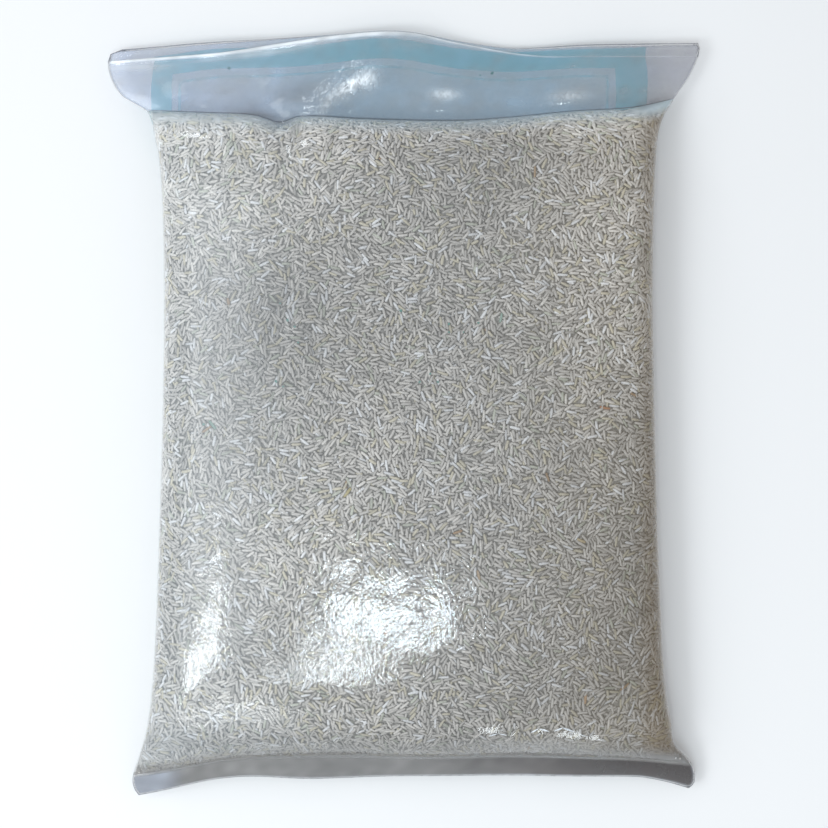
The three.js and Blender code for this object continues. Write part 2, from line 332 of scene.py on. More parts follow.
class Look:
    def __init__(self, name):
        self.material = bpy.data.materials.new(name)
        self.material.use_nodes = True
        self.tree = self.material.node_tree
        self.tree.nodes.clear()

    def node(self, kind, settings=None, values=None, out=0):
        made = self.tree.nodes.new(kind)
        for key, value in (settings or {}).items():
            setattr(made, key, value)
        for key, value in (values or {}).items():
            if isinstance(value, Sock):
                self.tree.links.new(value.socket, made.inputs[key])
            elif value is not None:
                made.inputs[key].default_value = value
        return Sock(self, made.outputs[out]) if len(made.outputs) else None

    def value(self, operation, a, b):
        return self.node("ShaderNodeMath", {"operation": operation}, {0: a, 1: b})

    def blend(self, a, b, share):
        made = self.tree.nodes.new("ShaderNodeMix")
        made.data_type = "RGBA"
        for key, value in ((0, share), (6, a), (7, b)):
            if isinstance(value, Sock):
                self.tree.links.new(value.socket, made.inputs[key])
            else:
                made.inputs[key].default_value = value if key == 0 else (*value[:3], 1)
        return Sock(self, made.outputs[2])

    def attribute(self, name, out="Fac"):
        return self.node("ShaderNodeAttribute", {"attribute_name": name}, out=out)

    def split(self, vector):
        made = self.node("ShaderNodeSeparateXYZ", None, {0: vector})
        return [Sock(self, s) for s in made.socket.node.outputs]

    def place(self, scale=(1, 1, 1), turn=(0, 0, 0)):
        at = self.node("ShaderNodeTexCoord", out="Object")
        return self.node("ShaderNodeMapping", None, {"Vector": at, "Scale": scale, "Rotation": turn})

    def noise(self, vector, scale, detail=2, roughness=0.5):
        return self.node("ShaderNodeTexNoise", None, {
            "Vector": vector, "Scale": scale, "Detail": detail, "Roughness": roughness})

    def finish(self, shader):
        self.node("ShaderNodeOutputMaterial", None, {"Surface": shader})
        return self.material


# Mesh helpers

def linked(name, mesh):
    piece = bpy.data.objects.new(name, mesh)
    bpy.context.scene.collection.objects.link(piece)
    return piece


def pieceFrom(bm, name):
    mesh = bpy.data.meshes.new(name)
    bm.to_mesh(mesh)
    bm.free()
    return linked(name, mesh)


def dress(piece, material, slotName):
    piece.data.materials.append(material)
    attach(piece, "root")
    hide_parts("rice_bag")
    print(piece.name, "in", slotName + ":", len(piece.data.polygons), "faces")


def tableShell(name, front, under, layers):
    # two grids moved to the tables' points, and welded where those meet
    bm = bmesh.new()
    rows, columns = front.shape[:2]
    for side in (0, 1):
        bmesh.ops.create_grid(
            bm, x_segments=columns - 1, y_segments=rows - 1, size=1,
            matrix=Matrix.Translation((0, 0, side)),
        )
    made = {}
    for key, (values, _) in layers.items():
        kinds = bm.verts.layers.float if values.ndim == 2 else bm.verts.layers.float_vector
        made[key] = kinds.new(key)
    below = [f for f in bm.faces if f.verts[0].co.z > 0.5]
    bmesh.ops.reverse_faces(bm, faces=below)
    for v in bm.verts:
        column = round((v.co.x + 1) / 2 * (columns - 1))
        row = round((v.co.y + 1) / 2 * (rows - 1))
        side = round(v.co.z)
        for key, layer in made.items():
            v[layer] = layers[key][side][row, column]
        v.co = (front, under)[side][row, column]
    bmesh.ops.remove_doubles(bm, verts=bm.verts, dist=2e-7)
    piece = pieceFrom(bm, name)
    piece.data.shade_smooth()
    return piece


# The film: one welded tube with an empty header and a sealed fin

filmLook = {  # haze is how much of the film's veil hides what lies behind; the body and underside veils are the film's own colour, while the side, crease, foot, header and fin coats also paint light, shade and reflections into it
    # reach is where a coat sets in and where it is full, in millimetres
    "body": {"haze": 0.11, "veil": (0.6, 0.6, 0.59)},
    # painted reflection: a bright bluish veil over the left side, where the bag's left slope mirrors the
    # bright room
    "left": {"haze": 0.08, "veil": (0.8, 0.87, 0.92), "reach": (0, -150), "underReach": (-110, -150)},
    # painted reflection: a warm brown veil over the right half, and a darker brown one at the right edge, as
    # of dim brown surroundings mirrored there
    "rightHalfWarmReflection": {"haze": 0.07, "veil": (0.38, 0.3, 0.2), "reach": (0, 150), "underReach": (110, 150)},
    "right": {"haze": 0.2, "veil": (0.25, 0.165, 0.075), "reach": (138, 157), "underReach": (126, 157)},
    # partly the film's real haze where it stands off the rice at the steep top end, and partly a painted pale
    # bluish reflection of the room there
    "crease": {"haze": 0.13, "veil": (0.72, 0.9, 1.0), "reach": (15, 3)},
    # the film's real haze where it stands off the rice at the foot, with a dark veil that paints the shade and
    # dark reflection on the steep foot
    "foot": {"haze": 0.28, "veil": (0.22, 0.215, 0.21), "leftReach": 14, "rightReach": 18, "full": 3},
    "underside": {"haze": 0.1, "veil": (0.66, 0.68, 0.68)},
    # the header's film is blue-grey, lighter to the left as painted light and darker to the right as painted
    # shade
    "headerHaze": (0.3, 0.34), "headerLeftHaze": -0.04,
    "headerLitLeft": (0.43, 0.51, 0.67), "headerMiddle": (0.25, 0.38, 0.5), "headerShadedRight": (0.3, 0.31, 0.37),
    "headerLeftReach": (-30, -130), "headerRightReach": (95, 170),
    # painted shadow: the fin's dark grey veil stands in for the bag's shadow seen through the fin, darker
    # still to the right, with painted light at the left corner
    "finHaze": 0.76, "finShadowLeft": (0.232, 0.228, 0.223), "finShadowRight": (0.063, 0.053, 0.052),
    "finLitCorner": (0.36, 0.39, 0.45), "finRightReach": (-30, 150), "finCornerReach": (-140, -160),
    "rim": (0.5, 0.52, 0.58), "rimCover": 0.5, "rimTint": 0.8,
    # painted shadow along the crease
    "creaseShadowLine": (0.03, 0.035, 0.04), "creaseShadowCover": 0.95,
    # the whitish colour paints highlights on the folds and the ply's edge, and the dim colour paints shade
    "paintedHighlight": (0.92, 0.97, 1.0), "dim": (0.13, 0.12, 0.12),
    # painted highlight on the front ply's cut edge: its strength at the left and right
    "plyEdge": {"left": 1, "right": 0.4, "reach": (40, 110), "thickReach": (40, -30)},
    "ink": (0.01, 0.45, 0.52), "inkCover": 0.56,
    "tint": (0.12, 0.36, 0.5), "tintCover": 0.06,
    "roughness": 0.09, "finRoughness": 0.4, "fineScale": 400, "glossAhead": 0.045, "glossAslant": 0.93,
}
paintedHighlightSpots = [  # painted highlights: whitish haze where the header's folds and edge and some places on the body catch the light: [x, y, length, width, turn, cover]
    [-36, 208, 14, 4, 30, 0.72], [-50, 199, 10, 3, 58, 0.42], [-27, 212, 7, 6, 10, 0.5],
    [23, 203, 8, 3.6, 0, 0.45], [103, 202, 10, 3.6, 4, 0.45], [-172, 222, 22, 2.4, 0, 0.3],
    [-96, 231, 40, 2.4, 8, 0.3],
    [-104, -188, 26, 6, 3, 0.1], [-153, -204, 14, 16, 0, 0.08], [-75, -190, 6, 9, 30, 0.1],
    [-118, 182, 46, 6, 0, 0.06], [87, -208, 42, 7, 0, 0.1],
]
crumpledSpots = [  # fine creases that break up the gloss, and in the film's colour the painted highlights with it
    [-36, 208, 20, 11, 30, 1], [23, 203, 10, 6, 0, 0.4], [103, 202, 12, 6, 4, 0.4],
    [-104, -190, 40, 9, 3, 0.35],
]
paintedShadeSpots = [  # painted shade in the small tuck beside the crease, and along the line where the plies meet
    [-72, 204, 15, 6, 10, 0.22], [-71, 177, 5, 10, 10, 0.22], [-79, 184.5, 7, 2.2, 0, 0.5],
    [-96, 190, 12, 2.6, -8, 0.3], [155, 197, 12, 3, 20, 0.3],
]


def spots(listed, x, y):
    cover = 0 * x
    for atX, atY, long, wide, turn, strength in listed:
        c, n = math.cos(math.radians(turn)), math.sin(math.radians(turn))
        u, v = (x - atX) * c + (y - atY) * n, (y - atY) * c - (x - atX) * n
        cover = np.maximum(cover, strength * np.exp(-(u / long) ** 2 - (v / wide) ** 2))
    return cover


even = np.linspace(-1, 1, bag["columns"] + 1)
border = {  # the printed border, in millimetres from the middle and down from the edge
    "outerLeft": 164, "innerLeft": 150, "outerRight": 154.5, "innerRight": 134.5,
    "outerTop": 4.8, "innerTop": 18.2, "lean": 0.09, "leanDepth": 60, "slant": 0.014,
    "lineGap": 4.6, "lineWidth": 1.8,
    "foot": 468, "wobble": 0.5, "soft": 0.7, "tube": 380, "onBody": 0.6,
    "creaseDown": 52, "bodyDown": (56, 110), "paleDown": (56, 90), "finDown": (484, 492),
}


def tinted(veil, key, share):
    return mix(veil, np.array(filmLook[key]), np.asarray(share)[..., None])


def planOf(table, x, y):
    # each point's place on the tube laid flat: across from the middle, and down from the header's edge
    crease, edge = curveThrough("crease", even), curveThrough("headerEdge", even)
    headerShare = np.clip((y - crease) / (edge - crease), 0, 1)
    column = table[:, bag["columns"] // 2]
    fromFin = np.concatenate([[0], np.cumsum(np.linalg.norm(np.diff(column, axis=0), axis=-1))]) / mm
    below = border["creaseDown"] + (fromFin[creaseRow] - fromFin)[:, None]
    down = np.where((zone == inHeader)[:, None], (edge - crease) * (1 - headerShare), below)
    steps = np.linalg.norm(np.diff(table, axis=1), axis=-1) / mm
    across = np.concatenate([np.zeros((len(table), 1)), np.cumsum(steps, axis=1)], 1)
    across += (x - across)[:, bag["columns"] // 2, None]
    fullTube = border["tube"] / (across[:, -1] - across[:, 0])[:, None]
    return across * mix(1, fullTube, ease(*border["bodyDown"], down)), down


def bodyCoats(side, x, y):
    # coats of colour, each laid by its share of the haze that is there after it; the side, crease and foot
    # coats paint light, shade and reflections
    plain = filmLook["underside" if side else "body"]
    haze, veil = plain["haze"] + 0 * x, np.array(plain["veil"]) + 0 * x[..., None]
    reach = "underReach" if side else "reach"  # on the underside the sides' coats soon end
    covers = {key: ease(*filmLook[key][reach], x) for key in ("left", "rightHalfWarmReflection", "right")}
    if side == 0:
        foot = filmLook["foot"]
        footReach = mix(foot["leftReach"], foot["rightReach"], ease(-40, 60, x))
        covers["crease"] = ease(*filmLook["crease"]["reach"], curveThrough("crease", even) - y)
        covers["foot"] = ease(footReach, foot["full"], y - curveThrough("finWeld", even))
    for key, cover in covers.items():
        haze = haze + filmLook[key]["haze"] * cover
        veil = mix(veil, np.array(filmLook[key]["veil"]), cover[..., None])
    return haze, veil


def headerAndFin(side, x, haze, veil):
    header, fin = ((zone == z).astype(float)[:, None] + 0 * x for z in (inHeader, inFin))
    # the header's veil: lighter to the left as painted light, darker to the right as painted shade
    toLeft, toRight = ease(*filmLook["headerLeftReach"], x), ease(*filmLook["headerRightReach"], x)
    headerVeil = tinted(np.array(filmLook["headerMiddle"]), "headerLitLeft", toLeft)
    headerVeil = tinted(headerVeil, "headerShadedRight", toRight)
    haze = mix(haze, filmLook["headerHaze"][side] + filmLook["headerLeftHaze"] * toLeft, header)
    veil = mix(veil, headerVeil, header[..., None])
    # the fin's veil paints the shadow beneath it, with painted light at the left corner
    finShadowVeil = tinted(np.array(filmLook["finShadowLeft"]), "finShadowRight", ease(*filmLook["finRightReach"], x))
    finShadowVeil = tinted(finShadowVeil, "finLitCorner", ease(*filmLook["finCornerReach"], x))
    return mix(haze, filmLook["finHaze"], fin), mix(veil, finShadowVeil, fin[..., None])


def frontMarks(x, y, haze, veil):
    # painted highlights and painted shade in spots, a painted highlight along the front ply's cut edge and a
    # painted shadow line at the crease
    for listed, key in ((paintedHighlightSpots, "paintedHighlight"), (paintedShadeSpots, "dim")):
        cover = spots(listed, x, y)
        haze = haze + (1 - haze) * cover
        veil = tinted(veil, key, (cover / np.maximum(haze, 0.01)).clip(0, 1))
    # painted highlight along the front ply's cut edge
    ply = filmLook["plyEdge"]
    cover = mix(ply["left"], ply["right"], ease(*ply["reach"], x[plyEdgeRow]))
    thick = ease(*ply["thickReach"], x[plyEdgeRow])
    for row, share in ((0, 1), (-1, 0.3 + 0.7 * thick), (-2, 0.8 * thick)):
        row += plyEdgeRow
        haze[row] = mix(haze[row], 1, cover * share)
        veil[row] = tinted(veil[row], "paintedHighlight", cover * share)
    # painted shadow: a dark line along the crease
    cover = filmLook["creaseShadowCover"] * ease(1, 0.97, np.abs(even))
    haze[creaseRow] = mix(haze[creaseRow], 1, cover)
    veil[creaseRow] = tinted(veil[creaseRow], "creaseShadowLine", cover / haze[creaseRow])
    return haze, veil


def filmLayers():
    layers = {key: [] for key in ("haze", "veil", "flat", "crumpled", "streak")}
    for side, table in enumerate((frontTable, underTable)):
        x, y = (table[..., i] / mm - shift[i] for i in (0, 1))
        across, down = planOf(table, x, y)
        haze, veil = headerAndFin(side, x, *bodyCoats(side, x, y))
        if side == 0:
            haze, veil = frontMarks(x, y, haze, veil)
        rim = np.zeros(x.shape)
        rim[-1], rim[0] = 1, 1
        rim[zone != inBody, 0], rim[zone != inBody, -1] = 1, 1
        wobble = softNoise(x, y, 90, 6) * border["wobble"]
        loose = np.clip(ease(56, 44, down) + ease(478, 492, down), 0, 1)
        streak = 0.07 * softNoise(x, y, 22, 7, 2.6, 0.12) + 0.05 * softNoise(x, y, 9, 8, 1.6, 0.3)
        for key, values in (
            ("haze", mix(haze, 1, rim * filmLook["rimCover"])),
            ("veil", tinted(veil, "rim", rim * filmLook["rimTint"])),
            ("flat", np.stack([(across + wobble) * mm, (down + wobble) * mm, side + 0 * x], -1)),
            ("crumpled", spots(crumpledSpots, x, y) * (1 - side)),
            ("streak", 1 + streak * loose),
        ):
            layers[key].append(values)
    return layers


def filmMaterial():
    look = Look("clearFilm")
    haze, veil = look.attribute("haze"), look.attribute("veil", "Color")
    streak, crumpled = look.attribute("streak"), look.attribute("crumpled")
    x, down, under = look.split(look.attribute("flat", "Vector"))
    x, down = x / mm, down / mm
    depth = down.least(border["foot"] - down)
    lean = depth.least(border["leanDepth"]) * border["lean"]
    depth = depth + x * border["slant"]

    def inside(left, right, top):
        soft = border["soft"]
        return ((x + lean).ramp(-left - soft, -left + soft) * (x + lean * 0.5).ramp(right + soft, right - soft)
                * depth.ramp(top - soft, top + soft))

    def lineInside(gap):
        return inside(border["innerLeft"] - gap, border["innerRight"] - gap, border["innerTop"] + gap)

    outer = inside(border["outerLeft"], border["outerRight"], border["outerTop"])
    band = outer * (1 - lineInside(0))
    thin = lineInside(border["lineGap"]) * (1 - lineInside(border["lineGap"] + border["lineWidth"]))
    ink = ((band * 0.95 + thin * 0.4) * (streak * 2.2 - 1.2)).clamped() * under * filmLook["inkCover"]
    ink = ink * down.ramp(*border["paleDown"], 1, border["onBody"])
    tint = lineInside(0) * under * filmLook["tintCover"]
    fine = look.noise(look.place((1, 0.7, 1), (0, 0, -0.4)), filmLook["fineScale"], 1, 0.6)
    bump = look.node("ShaderNodeBump", None, {
        "Height": fine * (crumpled * 7 + 0.45), "Strength": 0.22, "Distance": 0.0012})
    # in the crumpled spots the fine noise also breaks the painted highlight's colour into sparkles
    streaky = streak + (fine - 0.5) * crumpled * 1.8
    base = look.node("ShaderNodeVectorMath", {"operation": "SCALE"}, {0: veil, "Scale": streaky})
    base = look.blend(base, filmLook["tint"], (tint / (haze + tint)).clamped())
    base = look.blend(base, filmLook["ink"], (ink / (haze + ink)).clamped())
    cloud = look.node("ShaderNodeBsdfPrincipled", None, {
        "Base Color": base, "Roughness": 0.45, "Specular IOR Level": 0.2, "Normal": bump})
    clear = look.node("ShaderNodeBsdfTransparent", None, {"Color": (1, 1, 1, 1)})
    solid = (haze * streaky + (ink + tint) * (1 - haze)).clamped()
    body = look.node("ShaderNodeMixShader", None, {0: solid, 1: clear, 2: cloud})
    gloss = look.node("ShaderNodeBsdfGlossy", None, {
        "Color": (1, 1, 1, 1), "Normal": bump,
        "Roughness": filmLook["roughness"] + down.ramp(*border["finDown"]) * filmLook["finRoughness"]})
    facing = look.node("ShaderNodeLayerWeight", None, {"Blend": 0.5}, out="Facing")
    # the same share of gloss from both sides, as thin film has it
    share = filmLook["glossAhead"] + filmLook["glossAslant"] * facing ** 5
    return look.finish(look.node("ShaderNodeMixShader", None, {0: share, 1: body, 2: gloss}))


film = tableShell("film_bag", frontTable, underTable, filmLayers())
dress(film, filmMaterial(), "film")


# The rice: a core coloured as painted shade deep among the grains, and two layers of loose grains between it
# and the film

rice = {
    "length": 6.9, "lengthSpread": 0.6, "lengths": (4.6, 8.4),
    "width": 1.85, "widthSpread": 0.13, "widths": (1.45, 2.2), "flatness": 0.86,
    "brokenShare": 0.05, "brokenLengths": (0.45, 0.75), "evenSteps": (0.7548776662, 0.5698402910),
    "groupSize": 9, "groupScatter": 0.4, "looseShare": 0.25, "tilt": 0.12,
    "topDepth": 1.1, "secondDepth": 1.9, "coreDepth": 2.7,
    "coverTop": 0.8, "coverSecond": 0.74, "coverUnderside": 0.76, "coverUndersideDeep": 0.45,
    "earReach": 4, "slimmest": 1.2, "tipAt": 0.86, "inset": 0.4, "depthSpread": 0.22,
    "seed": 11, "rounds": 17,
}
rng = np.random.default_rng(rice["seed"])


def thicknessOf(front, under, normals):
    # how thick the filling is below each point of the front, along the film's normal
    gap = np.stack([
        f[:, 2] - np.interp(f[:, 0], u[:, 0], u[:, 2]) for f, u in zip(front, under)
    ])
    thick = np.abs(gap) / np.maximum(np.abs(normals[..., 2]), 0.03)
    thick[:, 0], thick[:, -1] = thick[:, 1], thick[:, -2]
    return thick


def coreTables(depth):
    front, under = frontTable[bodyRows], underTable[bodyRows]
    made = []
    for table, other, outward in ((front, under, 1), (under, front, -1)):
        normals = normalsOf(table, outward)
        sink = np.minimum(depth * mm, 0.42 * thicknessOf(table, other, normals))
        made.append(table - normals * sink[..., None])
    for edge in (np.s_[:, 0], np.s_[:, -1], np.s_[0], np.s_[-1]):
        shared = (made[0][edge] + made[1][edge]) / 2
        made[0][edge], made[1][edge] = shared, shared
    return made


def flatPatch(table, rows, columns):
    middle = table[:, table.shape[1] // 2]
    along = np.concatenate([[0], np.cumsum(np.linalg.norm(np.diff(middle[:, :3], axis=0), axis=-1))])
    at = np.interp(np.linspace(0, along[-1], rows + 1), along, np.arange(len(along)))
    low = np.minimum(at.astype(int), len(along) - 2)
    evenRows = mix(table[low], table[low + 1], (at - low)[:, None, None])
    made, widths = [], []
    for row in evenRows:
        arc = np.concatenate([[0], np.cumsum(np.linalg.norm(np.diff(row[:, :3], axis=0), axis=-1))])
        places = np.linspace(0, arc[-1], columns + 1)
        made.append(np.stack([np.interp(places, arc, row[:, i]) for i in range(row.shape[1])], -1))
        widths.append(arc[-1])
    return np.array(made), float(np.mean(widths)) / mm, float(along[-1]) / mm


def sample(table, s, t):
    # table rows follow t and columns follow s, both given as shares from 0 to 1
    r, c = t * (table.shape[0] - 1), s * (table.shape[1] - 1)
    r0 = np.clip(r.astype(int), 0, table.shape[0] - 2)
    c0 = np.clip(c.astype(int), 0, table.shape[1] - 2)
    fr, fc = (r - r0)[:, None], (c - c0)[:, None]
    upper = mix(table[r0, c0], table[r0, c0 + 1], fc)
    lower = mix(table[r0 + 1, c0], table[r0 + 1, c0 + 1], fc)
    return mix(upper, lower, fr)


def orientationField(s, t, width, height):
    step = rice["groupSize"]
    across, along = int(width / step) + 3, int(height / step) + 3
    turn = rng.uniform(0, 2 * math.pi, (along, across))
    field = np.stack([np.cos(turn), np.sin(turn)], -1)
    smooth = sample(field, np.clip(s / (step * (across - 1)), 0, 1), np.clip(t / (step * (along - 1)), 0, 1))
    angle = 0.5 * np.arctan2(smooth[:, 1], smooth[:, 0]) + rng.normal(0, rice["groupScatter"], len(s))
    loose = rng.random(len(s)) < rice["looseShare"]
    return np.where(loose, rng.uniform(0, math.pi, len(s)), angle)


def settle(width, height, count):
    # grains as four beads each, pushed apart until few overlap
    k = np.arange(count)
    s = (0.5 + k * rice["evenSteps"][0]) % 1 * width
    t = (0.5 + k * rice["evenSteps"][1]) % 1 * height
    s, t = s + rng.normal(0, 0.5, count), t + rng.normal(0, 0.5, count)
    angle = orientationField(np.clip(s, 0, width), np.clip(t, 0, height), width, height)
    length = np.clip(rng.normal(rice["length"], rice["lengthSpread"], count), *rice["lengths"])
    broken = rng.random(count) < rice["brokenShare"]
    length = np.where(broken, length * rng.uniform(*rice["brokenLengths"], count), length)
    girth = np.clip(rng.normal(rice["width"], rice["widthSpread"], count), *rice["widths"])
    beads = 4
    along = (np.arange(beads) / (beads - 1) - 0.5)[None] * (length - girth)[:, None]
    reach = girth.mean()
    owner = np.repeat(np.arange(count), beads)
    radius = np.repeat(girth / 2, beads)
    cells = (int(width / reach) + 3, int(height / reach) + 3)
    for _ in range(rice["rounds"]):
        c, n = np.cos(angle), np.sin(angle)
        bs = (s[:, None] + along * c[:, None]).ravel()
        bt = (t[:, None] + along * n[:, None]).ravel()
        ci = np.clip((bs / reach).astype(int) + 1, 0, cells[0] - 1)
        cj = np.clip((bt / reach).astype(int) + 1, 0, cells[1] - 1)
        key = ci * cells[1] + cj
        order = np.argsort(key, kind="stable")
        start = np.searchsorted(key[order], np.arange(cells[0] * cells[1] + 1))
        filled = np.diff(start)
        pushS, pushT = np.zeros(len(bs)), np.zeros(len(bs))
        for di, dj in ((0, 0), (1, 0), (0, 1), (1, 1), (-1, 1)):
            ni, nj = ci + di, cj + dj
            inside = (ni >= 0) & (ni < cells[0]) & (nj < cells[1])
            near = np.where(inside, ni * cells[1] + nj, 0)
            for slot in range(min(int(filled.max()), 7)):
                a = np.nonzero(inside & (filled[near] > slot))[0]
                b = order[start[near[a]] + slot]
                keep = (owner[a] != owner[b]) & ((di != 0) | (dj != 0) | (a < b))
                a, b = a[keep], b[keep]
                ds, dt = bs[b] - bs[a], bt[b] - bt[a]
                gap = np.hypot(ds, dt) + 1e-9
                over = radius[a] + radius[b] - gap
                hit = over > 0
                a, b, over, gap, ds, dt = (v[hit] for v in (a, b, over, gap, ds, dt))
                ps, pt = over * ds / gap / 2, over * dt / gap / 2
                for target, value in ((a, -1), (b, 1)):
                    pushS += np.bincount(target, ps * value, len(bs))
                    pushT += np.bincount(target, pt * value, len(bs))
        pushS, pushT = pushS.reshape(count, beads), pushT.reshape(count, beads)
        s = np.clip(s + 0.55 * pushS.mean(1) * 1.6, 1, width - 1)
        t = np.clip(t + 0.55 * pushT.mean(1) * 1.6, 1, height - 1)
        twist = (along * (c[:, None] * pushT - n[:, None] * pushS)).sum(1) / (along ** 2).sum(1)
        angle = angle + np.clip(0.6 * twist, -0.3, 0.3)
    return s, t, angle, length, girth


def grainTemplate(sides, bands):
    bm = bmesh.new()
    bmesh.ops.create_uvsphere(bm, u_segments=sides, v_segments=bands, radius=1)
    bmesh.ops.triangulate(bm, faces=bm.faces)
    for v in bm.verts:  # the poles point along X, and the ends are blunter than a ball's
        x, y, z = v.co
        girth = min(1, math.hypot(x, y) * 1.22)
        turn = math.atan2(y, x)
        v.co = (math.copysign(abs(z) ** 0.72, z), girth * math.cos(turn), girth * math.sin(turn))
    bmesh.ops.recalc_face_normals(bm, faces=bm.faces)
    points = np.array([v.co[:] for v in bm.verts])
    faces = [[v.index for v in f.verts] for f in bm.faces]
    faces = sorted(f[f.index(min(f)):] + f[:f.index(min(f))] for f in faces)  # in the same order each run
    bm.free()
    return points, np.array(faces)


grainColours = {
    "plain": (0.585, 0.562, 0.527), "spread": 0.14, "least": 0.6, "most": 1.3,
    "kinds": [  # [share of the grains, colour]
        [0.11, (0.57, 0.53, 0.42)], [0.1, (0.76, 0.765, 0.77)], [0.04, (0.49, 0.505, 0.43)],
        [0.0005, (0.36, 0.24, 0.14)],
    ],
    "odd": [  # single grains that stand out: [x, y, colour]
        [127, 2.3, (0.42, 0.2, 0.1)], [-35, -50, (0.48, 0.41, 0.2)], [114, -177, (0.4, 0.26, 0.15)],
        [82, 148, (0.4, 0.29, 0.18)], [-118, -6, (0.2, 0.33, 0.27)], [60, 58, (0.3, 0.42, 0.36)],
        [110, -78, (0.44, 0.36, 0.22)], [45, -100, (0.4, 0.3, 0.2)],
    ],
    # painted light and shade: slow changes of the grains' brightness over the front, lighter or darker where
    # light falls more or less: [x, y, length, width, turn, share]
    "paintedLightAndShade": [
        [-75, 50, 62, 55, 0, -0.2], [30, 60, 70, 90, 0, -0.1], [30, 150, 60, 28, 0, -0.12],
        [105, -120, 80, 75, 0, -0.28], [0, -208, 400, 9, 0, -0.3], [-112, -10, 22, 60, 0, -0.1],
        [130, 110, 32, 95, 0, 0.25], [-38, 165, 25, 30, 0, 0.1], [-150, 60, 14, 120, 0, 0.14],
        [-110, -185, 36, 10, 0, 0.14], [-118, 180, 50, 8, 0, 0.14],
        [-140, 0, 22, 230, 0, 0.12], [-110, 150, 60, 45, 0, 0.22],
        [-66, -90, 40, 40, 0, 0.22], [90, -110, 40, 35, 0, 0.14], [-110, -180, 40, 20, 0, 0.16],
        [-10, 178, 200, 10, 0, 0.16], [110, -180, 60, 20, 0, -0.14], [150, -100, 14, 90, 0, -0.14],
        [100, -20, 40, 35, 0, -0.08],
        [-108, -118, 12, 30, 0, -0.1], [46, 135, 22, 28, 0, -0.1], [110, 181, 40, 8, 0, 0.12],
        [60, 30, 30, 25, 0, -0.06], [-82, 62, 22, 24, 0, -0.1], [-22, -15, 26, 40, 0, 0.08],
        [35, -192, 28, 14, 0, -0.12], [140, -165, 16, 28, 0, -0.1],
        [60, 175, 50, 14, -25, -0.12],
    ],
}


def grainTints(count):
    lightness = rng.normal(1, grainColours["spread"], (count, 1))
    lightness = np.clip(lightness, grainColours["least"], grainColours["most"])
    base = np.array(grainColours["plain"]) * lightness
    kinds, low = rng.random(count), 0
    for share, colour in grainColours["kinds"]:
        chosen = (kinds >= low) & (kinds < low + share)
        base[chosen] = np.array(colour) * np.clip(rng.normal(1, 0.08, (chosen.sum(), 1)), 0.8, 1.2)
        low += share
    return np.clip(base, 0, 0.95)


def turnedAtEdges(angle, length, fromSide, fromEnd):
    # beside the bag's side or end a grain turns along it, so that no tip reaches through
    c, n = np.cos(angle), np.sin(angle)
    most = np.clip((fromSide - rice["inset"]) / (length / 2), 0, 1)
    c, n = np.clip(c, -most, most), np.where(np.abs(c) > most, np.copysign(np.sqrt(1 - most ** 2), n), n)
    most = np.clip((fromEnd - rice["inset"]) / (length / 2), 0, 1)
    c, n = np.where(np.abs(n) > most, np.copysign(np.sqrt(1 - most ** 2), c), c), np.clip(n, -most, most)
    return np.arctan2(n, c)


def insetOf(point):
    # how far inside the body's outline each point lies, seen from above
    low, high = (np.interp(point[:, 0], frontBody[i, :, 0], frontBody[i, :, 1]) for i in (0, -1))
    left, right = (np.interp(point[:, 1], frontBody[:, i, 1], frontBody[:, i, 0]) for i in (0, -1))
    x, y = point[:, 0], point[:, 1]
    return np.min((y - low, high - y, x - left, right - x), axis=0)


def frontTintsAndPaintedLight(tint, at, oddOnes):
    # painted light and shade on the grains first, then the odd grains' own colours
    for atX, atY, long, wide, turn, share in grainColours["paintedLightAndShade"]:
        near = spots([[atX, atY, long, wide, turn, 1]], at[:, 0] / mm, at[:, 1] / mm)
        tint = tint * (1 + share * near)[:, None]
    if oddOnes:
        for atX, atY, colour in grainColours["odd"]:
            tint[np.argmin(np.hypot(at[:, 0] / mm - atX, at[:, 1] / mm - atY))] = colour
    return tint


